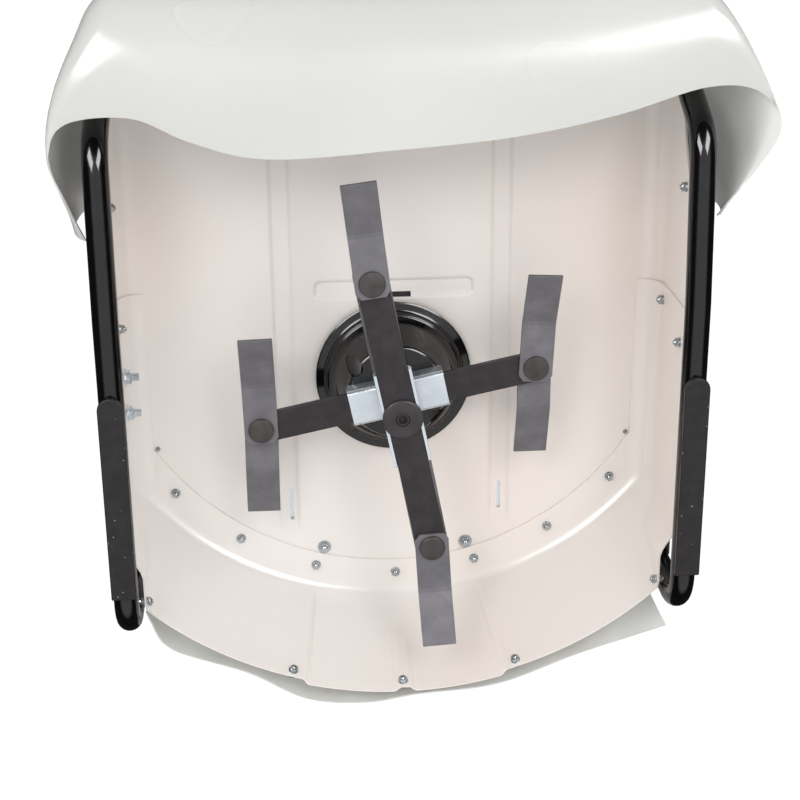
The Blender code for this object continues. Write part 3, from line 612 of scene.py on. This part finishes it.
def shroud_rows():
    """The shroud's grid, crowded at the edges of its panel and rib."""
    front = math.radians(92)
    count = 150
    angles = [front * (2 * i / count - 1) for i in range(count + 1)]
    edges = [s * (0.0100 + 0.0018 * k) / FLARE_R for k in range(-4, 5) for s in (1, -1)]
    edges += [s * (0.124 + 0.0030 * k) / FLARE_R for k in range(-5, 6) for s in (1, -1)]
    angles = sorted(angles + edges)
    return [[shroud_point(a, r, z) for r, z in shroud_profile()] for a in angles]


piece("shroud_plate", sheet_mesh(shroud_rows(), SHROUD_SHEET), PAINT, stands_for=("rear_shroud",))


# ---------------------------------------------------------------- fasteners
def frame_at(place, normal, spin=0.0):
    """A matrix that carries +Z onto a normal at a place."""
    turn = Vector((0, 0, 1)).rotation_difference(Vector(normal).normalized()).to_matrix().to_4x4()
    return Matrix.Translation(Vector(place)) @ turn @ Matrix.Rotation(spin, 4, "Z")


def hex_nut(bm, across, low, high, bore, chamfer):
    """A hexagon whose outer corners are cut by a cone, around a bored hole."""
    steps = 36
    radius = across / math.sqrt(3)
    rings = []
    for share, z in ((0, low), (1, low + chamfer), (1, high - chamfer), (0, high)):
        ring = []
        for k in range(steps):
            angle = 2 * math.pi * k / steps
            flat = (across / 2) / math.cos((angle % (math.pi / 3)) - math.pi / 6)
            r = flat if share else min(flat, across / 2 * 0.98)
            ring.append(bm.verts.new((min(r, radius) * math.cos(angle), min(r, radius) * math.sin(angle), z)))
        rings.append(ring)
    inner = []
    for z in (high - 0.0004, low):
        inner.append([bm.verts.new((bore * math.cos(2 * math.pi * k / steps),
                                    bore * math.sin(2 * math.pi * k / steps), z)) for k in range(steps)])
    loop = rings + inner
    for lower, upper in zip(loop, loop[1:] + loop[:1]):
        for k in range(steps):
            j = (k + 1) % steps
            bm.faces.new((lower[k], lower[j], upper[j], upper[k]))


def add_fastener(name, place, normal, size, plate=0.0045, flange=0.0, spin=0.3):
    """A nut on its washer with the bolt's end standing out, and the bolt's head behind the plate."""
    bm = bmesh.new()
    washer = max(flange, size * 1.05)
    turned([(size * 0.52, 0.0), (washer, 0.0), (washer, 0.0008), (washer * 0.97, 0.0012),
            (size * 0.52, 0.0012)], 32, bm)
    nut_top = 0.0012 + size * 0.8
    hex_nut(bm, size * 1.66, 0.0013, nut_top, size * 0.53, size * 0.10)
    tip = nut_top + size * 0.35
    z = -plate - 0.0002
    thread = [(0, z), (size * 0.50, z)]
    while z < tip - 0.0010:
        z += 0.0005
        thread.append((size * 0.46, z))
        z += 0.0005
        thread.append((size * 0.50, z))
    thread += [(size * 0.40, tip), (0, tip)]
    turned(thread, 20, bm)
    head = -plate - size * 0.65
    turned([(0, head), (size * 0.78, head), (size * 0.86, head + 0.0006), (size * 0.88, -plate - 0.0003),
            (0, -plate - 0.0003)], 24, bm)
    piece(name, bm, NUT_ZINC, sharp=30, at=frame_at(place, normal, spin))


DOWN = (0, 0, -1)
for k in range(-3, 4):
    angle = math.radians(16.0 * k)
    spot = (NUT_RING_R * math.sin(angle), SHROUD_Y - NUT_RING_R * math.cos(angle), RING_Z)
    add_fastener(f"ring_nut_{k + 4}", spot, DOWN, 0.0060, plate=0.0052, spin=0.4 * k)
for side, label in ((1, "left"), (-1, "right")):
    add_fastener(f"deck_nut_{label}", (side * 0.0950, -0.2440, DECK_Z), DOWN, 0.0070,
                 plate=0.0030, flange=0.0092, spin=0.5 * side)
    add_fastener(f"corner_nut_{label}", (side * 0.3080, -0.0930, DECK_Z), DOWN, 0.0030,
                 plate=0.0030)


def wall_frame(angle, height):
    """A point on the shroud's inner face near its lower edge, and the inward normal there."""
    profile = shroud_profile()
    last, bend = profile[-1], profile[RING_STEPS + BEND_STEPS]
    radius = mix(last[0], bend[0], (height - last[1]) / (bend[1] - last[1]))
    here = shroud_point(angle, radius, height)
    beside = shroud_point(angle + 0.01, radius, height) - shroud_point(angle - 0.01, radius, height)
    slope = shroud_point(angle, bend[0], bend[1]) - shroud_point(angle, last[0], last[1])
    normal = beside.cross(slope).normalized()
    inward = Vector((-math.sin(angle), math.cos(angle), 0))
    if normal.dot(inward) < 0:
        normal = -normal
    return here + normal * (SHROUD_SHEET / 2), normal


for k, degrees in enumerate((-43.9, -17.8, 0.3, 17.8, 43.9)):
    spot, normal = wall_frame(math.radians(degrees), HEM_NUT_Z)
    add_fastener(f"hem_nut_{k + 1}", spot, normal, 0.0058, plate=0.0055, spin=0.2 + k)

SIDE_NUTS = (("right_high", -1, 0.099, 0.203), ("right_low", -1, 0.074, 0.108),
             ("right_front", -1, 0.264, 0.124), ("left_high", 1, 0.084, 0.200),
             ("left_front", 1, 0.238, 0.202))
for label, side, y, z in SIDE_NUTS:
    under_shroud = y < 0.10
    inner = SIDE_X - (SHROUD_SHEET + 2 * GAP if under_shroud else 0.0)
    add_fastener(f"side_plate_nut_{label}", (side * inner, y, z), (-side, 0, 0), 0.0060,
                 plate=0.0055, spin=0.7)


# ---------------------------------------------------------------- gearbox covers
def bolt_ring(name, count, circle, at, start=0.0):
    """Hexagon heads on a bolt circle, standing on a face."""
    bm = bmesh.new()
    for i in range(count):
        angle = start + 2 * math.pi * i / count
        before = len(bm.verts)
        hex_nut(bm, 0.0080, 0.0, 0.0040, 0.0024, 0.0008)
        turned([(0, 0.0002), (0.0023, 0.0002), (0.0023, 0.0034), (0, 0.0034)], 16, bm)
        bm.verts.ensure_lookup_table()
        shift = Matrix.Rotation(angle, 4, "Z") @ Matrix.Translation((circle, 0, 0))
        bmesh.ops.transform(bm, matrix=shift, verts=bm.verts[before:])
    piece(name, bm, NUT_ZINC, sharp=30, at=at)


LID_RIM = 0.0050                                # the height on which a lid's bolts stand
LID_PROFILE = [(0, 0), (0.0400, 0), (0.0400, 0.0040), (0.0390, LID_RIM), (0.0260, LID_RIM),
               (0.0245, 0.0068), (0.0235, 0.0072), (0, 0.0072)]
GEARBOX_FACES = (("left", (0.0608, -0.006, INPUT_Z), (1, 0, 0)),
                 ("right", (-0.0608, -0.006, INPUT_Z), (-1, 0, 0)),
                 ("front", (0, 0.0588, INPUT_Z), (0, 1, 0)))
for label, place, normal in GEARBOX_FACES:
    on_face = frame_at(place, normal)
    piece(f"gearbox_lid_{label}", turned(LID_PROFILE, 72), CASTING, at=on_face)
    bolt_ring(f"lid_bolts_{label}", 6, 0.0325, on_face @ Matrix.Translation((0, 0, LID_RIM + 0.0001)))
bolt_ring("nose_bolts", 6, 0.0400, frame_at((0, -0.0832, INPUT_Z), (0, -1, 0)), math.pi / 6)


# ---------------------------------------------------------------- rotor
def build_dish():
    """Stamped hub dish: floor, sloping wall, rolled steps and a flat rim."""
    t, z, bore = 0.003, DISH_Z, 0.0065
    under = rounded([(bore, z), (0.0600, z), (0.0765, z + 0.041), (0.0835, z + 0.0500),
                     (0.0862, z + 0.0505), (0.0885, z + 0.0560), (0.0985, z + 0.0585),
                     (0.1000, z + 0.0592)], 0.0035, 5)
    over = rounded([(0.1000, z + 0.0612), (0.0862, z + 0.0588), (0.0835, z + 0.0532),
                    (0.0808, z + 0.0528), (0.0735, z + 0.044), (0.0582, z + t), (bore, z + t)],
                   0.0035, 5)
    dish = piece("dish", turned(under + over, 144), GLOSS, "rotor", ("hub_dish",), sharp=55)
    for degrees in (32.0, 215.0):
        angle = math.radians(degrees)
        drill(dish, rod(DISH_HOLE_R, DISH_Z - 0.01, DISH_Z + 0.045,
                        DISH_HOLE_AT * math.cos(angle), DISH_HOLE_AT * math.sin(angle), 40))


def build_channel(name, low_web, leg, down, node):
    """A folded U-channel with round outer bends, along local Y."""
    inner, thick, bend = BAR_W / 2 + GAP, CHANNEL_T, 0.0052
    outer = inner + thick
    tip = leg - thick
    outside = [(outer, tip)]
    for i in range(9):
        a = math.pi / 2 * i / 8
        outside.append((outer - bend + bend * math.cos(a), -thick + bend - bend * math.sin(a)))
    inside = [(inner, tip)]
    small = bend - thick
    for i in range(5):
        a = math.pi / 2 * i / 4
        inside.append((inner - small + small * math.cos(a), small - small * math.sin(a)))
    half = outside + [(0.0, -thick)]
    section = half + [(-x, y) for x, y in reversed(half[:-1])]
    back = inside + [(0.0, 0.0)]
    section += list(reversed(back + [(-x, y) for x, y in reversed(back[:-1])]))
    level = low_web + (0.0 if down else thick)
    sign = -1 if down else 1
    bm = prism(section, -0.061, 0.061)
    for vert in bm.verts:
        vert.co = Vector((vert.co.x, vert.co.z, level + sign * vert.co.y))
    spin = -BAR_TURN if node.startswith("lower") else -BAR_TURN - math.pi / 2
    piece(name, bm, ZINC, "rotor", (node,), sharp=40, bevel=0.0005, at=Matrix.Rotation(spin, 4, "Z"))


def pivot(azimuth):
    """The place of a blade bolt, turned with the bars."""
    angle = BAR_TURN + math.radians(azimuth)
    return Vector((math.sin(angle), math.cos(angle), 0)) * PIVOT_R


build_dish()
build_channel("lower_u_channel", BAR_Z["lower"] + BAR_T + GAP, 0.0120, True, "lower_channel")
build_channel("upper_u_channel", BAR_Z["upper"] - GAP - CHANNEL_T, 0.0245, False, "upper_channel")

for end, (azimuth, level) in BLADE_ENDS.items():
    top = BAR_Z[level] - GAP - BLADE_T - GAP
    nut_low = BAR_Z[level] + BAR_T + GAP + BLADE_T + GAP
    shank = [(0, top - 0.0040), (0.0142, top - 0.0040), (0.0150, top - 0.0037), (0.0156, top - 0.0030),
             (0.0158, top - 0.0022), (0.0158, top), (0.0060, top), (0.0060, nut_low + 0.0072),
             (0.0052, nut_low + 0.0080), (0, nut_low + 0.0080)]
    piece(f"pivot_bolt_{end}", turned(shank, 72), BOLT_HEAD, "rotor", (f"blade_bolt_{end}",),
          at=Matrix.Translation(pivot(azimuth)))

washer_top = BAR_Z["lower"] - GAP
dished = [(0.0088, washer_top - 0.0040), (0.0225, washer_top - 0.0040), (0.0238, washer_top - 0.0036),
          (0.0245, washer_top - 0.0028), (0.0246, washer_top), (0.0063, washer_top),
          (0.0063, washer_top - 0.0010), (0.0088, washer_top - 0.0010)]
piece("hub_washer", turned(dished, 96), WASHER, "rotor", ("centre_washer",))
head_z = washer_top - 0.0010 - GAP
screw = piece("hub_screw", turned([(0, head_z - 0.0020), (0.0078, head_z - 0.0020),
                                   (0.0085, head_z - 0.0015), (0.0085, head_z), (0.0060, head_z),
                                   (0.0060, 0.215), (0, 0.215)], 48), SATIN, "rotor", ("centre_bolt",))
socket = [(0.0058 * math.cos(0.3 + math.pi * i / 3), 0.0058 * math.sin(0.3 + math.pi * i / 3))
          for i in range(6)]
drill(screw, prism(socket, head_z - 0.01, head_z + 0.003))
for label, node, radius, low, high in (
        ("spacer_tube", "rotor_spacer", 0.021, 0.0872, 0.1405),
        ("boss_tube", "rotor_boss", 0.0185, 0.1534, 0.1657)):
    walls = [(0.0063, low), (radius - 0.0006, low), (radius, low + 0.0006), (radius, high - 0.0006),
             (radius - 0.0006, high), (0.0063, high)]
    piece(label, turned(walls, 72), SATIN, "rotor", (node,))


# ---------------------------------------------------------------- runners and hoop
def build_runners():
    for label, side in (("left", 1), ("right", -1)):
        x = side * TUBE_X
        corners = [(x, LEG_Y + 0.006, LEG_TOP_Z), (x, LEG_Y, TUBE_Z), (x, 0.150, TUBE_Z),
                   (x, RISER_Y, RISER_Z), (x, JOINT_Y, JOINT_Z)]
        piece(f"runner_tube_{label}", tube_mesh(bend_path(corners, 0.045, 14), TUBE_R), GLOSS,
              stands_for=(f"runner_{label}",), sharp=50, bevel=0.0008)
        bottom = TUBE_Z - TUBE_R - GAP
        half = 0.0150
        outline = [(-half, -0.190), (half, -0.190)]
        outline += [(half * math.cos(math.pi * i / 20), 0.066 - half + half * math.sin(math.pi * i / 20))
                    for i in range(21)]
        piece(f"shoe_{label}", prism(outline, bottom - 0.0077, bottom), SHOE,
              stands_for=(f"wear_shoe_{label}",), bevel=0.0016,
              at=Matrix.Translation((x, 0, 0)))
    left = bend_path([(TUBE_X, JOINT_Y + GAP * RISER_LEAN, JOINT_Z + GAP),
                      (TUBE_X, HOOP_Y, HOOP_Z), (0, HOOP_Y, HOOP_Z)], 0.022, 10)
    right = [Vector((-p.x, p.y, p.z)) for p in reversed(left[:-1])]
    piece("hoop_tube", tube_mesh(left[:-1] + right, TUBE_R), GLOSS, stands_for=("front_hoop",),
          sharp=50)


build_runners()


# ---------------------------------------------------------------- curtain and flap
def curtain_rows(count=161, depth=41):
    """The front curtain hangs from three strips and sweeps back under the front."""
    front = HOOP_Y + TUBE_R + 2 * GAP + 0.0070
    attach = bend_path([(STRIP_X, 0.245, STRIP_Z), (STRIP_X, front, STRIP_Z),
                        (-STRIP_X, front, STRIP_Z), (-STRIP_X, 0.250, STRIP_Z)], 0.040, 12)
    edge = smooth_path([(0.358, 0.236, 0.060), (0.378, 0.285, 0.052), (0.391, 0.330, 0.044),
                        (0.372, 0.372, 0.040), (0.298, 0.379, 0.035), (0.234, 0.352, 0.030),
                        (0.150, 0.331, 0.030), (0.004, 0.338, 0.030), (-0.130, 0.350, 0.030),
                        (-0.241, 0.371, 0.032), (-0.340, 0.398, 0.038), (-0.400, 0.392, 0.040),
                        (-0.430, 0.352, 0.045), (-0.410, 0.305, 0.052), (-0.366, 0.245, 0.060)])
    rows = []
    for i in range(count):
        t = i / (count - 1)
        top, hem = along(attach, t), along(edge, t)
        share = half_wave((top.y - 0.26) / 0.18)
        outward = Vector((top.x * mix(0.25, -0.08, share), max(0.0, top.y - 0.26), 0)).normalized()
        bulge = mix(0.020, 0.085, share)
        shoulder = top + outward * bulge + Vector((0, 0, -0.045))
        belly = mix(top, hem, 0.25) + outward * (bulge + 0.035 * share)
        belly.z = mix(0.060, 0.004, share)
        row = []
        for j in range(depth):
            s = j / (depth - 1)
            r = 1 - s
            row.append(top * r ** 3 + shoulder * 3 * r * r * s + belly * 3 * r * s * s + hem * s ** 3)
        rows.append(row)
    return rows


def flap_rows(count=81, depth=13):
    """The rear flap hangs from an arc on the shroud's outside down to its own hem."""
    hem = smooth_path([(-0.343, -0.312, 0.100), (-0.229, -0.345, 0.096), (-0.122, -0.382, 0.092),
                       (-0.020, -0.389, 0.088), (0.051, -0.397, 0.086), (0.127, -0.388, 0.088),
                       (0.200, -0.350, 0.094), (0.296, -0.313, 0.098), (0.318, -0.278, 0.101),
                       (0.325, -0.261, 0.104)])
    rows = []
    for i in range(count):
        t = i / (count - 1)
        low = along(hem, t)
        angle = mix(-FLAP_TURN, FLAP_TURN, t)
        top = Vector((FLAP_TOP_R * math.sin(angle), SHROUD_Y - FLAP_TOP_R * math.cos(angle), FLAP_TOP_Z))
        row = []
        for j in range(depth):
            s = j / (depth - 1)
            row.append(mix(top, low, s) + Vector((0, -0.006 * math.sin(math.pi * s), 0)))
        rows.append(row)
    return rows


for name, rows, thick, look, node, held, hangers in (
        ("curtain", curtain_rows(), 0.0022, VINYL, "front_curtain", "hung",
         ["curtain_strip_front", "curtain_strip_left", "curtain_strip_right"]),
        ("flap", flap_rows(), 0.0025, FLAP, "rear_flap", "hung", ["shroud_plate"])):
    cloth = piece(name, sheet_mesh(rows, thick), look, stands_for=(node,), sharp=60)


# ---------------------------------------------------------------- looks of the frame's own parts
LOOKS = {
    "black_satin": SATIN, "black_gloss": GLOSS, "dark_steel": BLADE, "bright_zinc": ZINC,
    "bearing_steel": BEARING, "grey_casting": CASTING, "seal_rubber": SEAL, "cream_paint": PAINT,
    "white_vinyl": VINYL, "grey_rubber": FLAP,
}
SLOT_OF = {s["node"]: s["material_slot"] for s in frame["record"]["subparts"]}
SHARP_EDGED = ("bar", "blade", "nut", "gusset", "bracket", "support", "strip", "bolt", "plug",
               "housing", "nose", "claw")
for node, obj in NODES.items():
    for slot in obj.material_slots:
        slot.material = LOOKS[SLOT_OF[node]]
    if any(word in node for word in SHARP_EDGED):
        weld = obj.modifiers.new("weld", "WELD")
        weld.merge_threshold = 1e-5
        edge = obj.modifiers.new("edge", "BEVEL")
        edge.width = 0.0006
        edge.segments = 2
        edge.limit_method = "ANGLE"
        edge.angle_limit = math.radians(35)


# ---------------------------------------------------------------- camera, floor and light
def aim(obj, location, target):
    obj.location = location
    obj.rotation_euler = (Vector(target) - Vector(location)).to_track_quat("-Z", "Y").to_euler()


def build_camera():
    """Looks up at the deck from below and in front, placed from the rotor's axis."""
    data = bpy.data.cameras.new("camera")
    data.lens = 74.2
    camera = bpy.data.objects.new("camera", data)
    right = Vector((-0.99693, -0.00881, -0.07775))
    up = Vector((-0.03597, 0.93403, 0.35537))
    back = Vector((0.06949, 0.35707, -0.93149))
    place = ORIGIN + Vector((0.1407, 0.7307, -1.7677))
    turn = Matrix((right, up, back)).transposed().to_4x4()
    camera.matrix_world = Matrix.Translation(place) @ turn
    bpy.context.collection.objects.link(camera)
    bpy.context.scene.camera = camera


def build_floor():
    """A pale floor that is seen from above only, because the picture looks up through it."""
    bm = bmesh.new()
    bmesh.ops.create_grid(bm, x_segments=8, y_segments=8, size=4.0)
    mesh = bpy.data.meshes.new("floor")
    bm.to_mesh(mesh)
    bm.free()
    floor = bpy.data.objects.new("floor", mesh)
    floor.location.z = -0.0004
    bpy.context.collection.objects.link(floor)
    m = Nodes("floor_look")
    m.set(Roughness=0.8)
    m.colour(m.ramp(m.noise(2.0), [(0.3, grey(0.80)), (0.7, grey(0.84))]))
    clear = m.add("ShaderNodeBsdfTransparent")
    side = m.add("ShaderNodeNewGeometry")
    both = m.add("ShaderNodeMixShader")
    output = m.tree.nodes["Material Output"]
    m.link(side.outputs["Backfacing"], both.inputs["Fac"])
    m.link(m.shader.outputs["BSDF"], both.inputs[1])
    m.link(clear.outputs["BSDF"], both.inputs[2])
    m.link(both.outputs["Shader"], output.inputs["Surface"])
    mesh.materials.append(m.material)
    floor.visible_shadow = False
    floor.visible_diffuse = False
    floor.visible_glossy = False
    floor.visible_transmission = False


def build_world():
    """White behind the object; to reflections, a bright sky below it and a dark room around."""
    world = bpy.data.worlds.new("studio")
    bpy.context.scene.world = world
    world.use_nodes = True
    tree = world.node_tree
    tree.nodes.clear()

    def add(kind, **values):
        node = tree.nodes.new(kind)
        for key, value in values.items():
            setattr(node, key, value)
        return node

    place = add("ShaderNodeTexCoord")
    dot = add("ShaderNodeVectorMath", operation="DOT_PRODUCT")
    dot.inputs[1].default_value = Vector((-0.05, -0.25, -0.95)).normalized()
    tree.links.new(place.outputs["Generated"], dot.inputs[0])
    patch = add("ShaderNodeMapRange", interpolation_type="SMOOTHSTEP")
    for key, value in (("From Min", 0.52), ("From Max", 0.80), ("To Min", 0.02), ("To Max", 1.0)):
        patch.inputs[key].default_value = value
    tree.links.new(dot.outputs["Value"], patch.inputs["Value"])
    ray = add("ShaderNodeLightPath")
    glossy = add("ShaderNodeBackground")
    glossy.inputs["Color"].default_value = (1, 1, 1, 1)
    tree.links.new(patch.outputs["Result"], glossy.inputs["Strength"])
    soft = add("ShaderNodeBackground")
    soft.inputs["Color"].default_value = (1.0, 0.995, 0.99, 1)
    soft.inputs["Strength"].default_value = 0.93
    white = add("ShaderNodeBackground")
    white.inputs["Color"].default_value = (1, 1, 1, 1)
    white.inputs["Strength"].default_value = 1.05
    first, second = add("ShaderNodeMixShader"), add("ShaderNodeMixShader")
    tree.links.new(ray.outputs["Is Glossy Ray"], first.inputs["Fac"])
    tree.links.new(soft.outputs["Background"], first.inputs[1])
    tree.links.new(glossy.outputs["Background"], first.inputs[2])
    tree.links.new(ray.outputs["Is Camera Ray"], second.inputs["Fac"])
    tree.links.new(first.outputs["Shader"], second.inputs[1])
    tree.links.new(white.outputs["Background"], second.inputs[2])
    output = add("ShaderNodeOutputWorld")
    tree.links.new(second.outputs["Shader"], output.inputs["Surface"])


def build_lights():
    """Two weak lamps for the matt surfaces, and two tall softboxes seen in reflections only."""
    for label, place, size, power, mirrored in (
            ("lamp_left", (0.95, 1.25, -1.70), (0.45, 0.90), 9, False),
            ("lamp_right", (-0.75, 1.35, -1.75), (0.45, 0.90), 9, False),
            ("softbox_left", (1.45, 1.25, -1.60), (1.00, 1.80), 75, True),
            ("softbox_right", (-1.25, 1.35, -1.65), (1.00, 1.80), 75, True),
            ("lamp_above", (-0.8, 1.0, 2.6), (1.6, 1.6), 30, False)):
        light = bpy.data.lights.new(label, "AREA")
        light.shape = "RECTANGLE"
        light.size, light.size_y = size
        light.energy = power
        obj = bpy.data.objects.new(label, light)
        obj.visible_diffuse = not mirrored
        obj.visible_glossy = mirrored
        bpy.context.collection.objects.link(obj)
        aim(obj, ORIGIN + Vector(place), ORIGIN + Vector((0, 0.05, 0.15)))


build_camera()
build_floor()
build_world()
build_lights()
bpy.context.scene.view_settings.view_transform = "Standard"
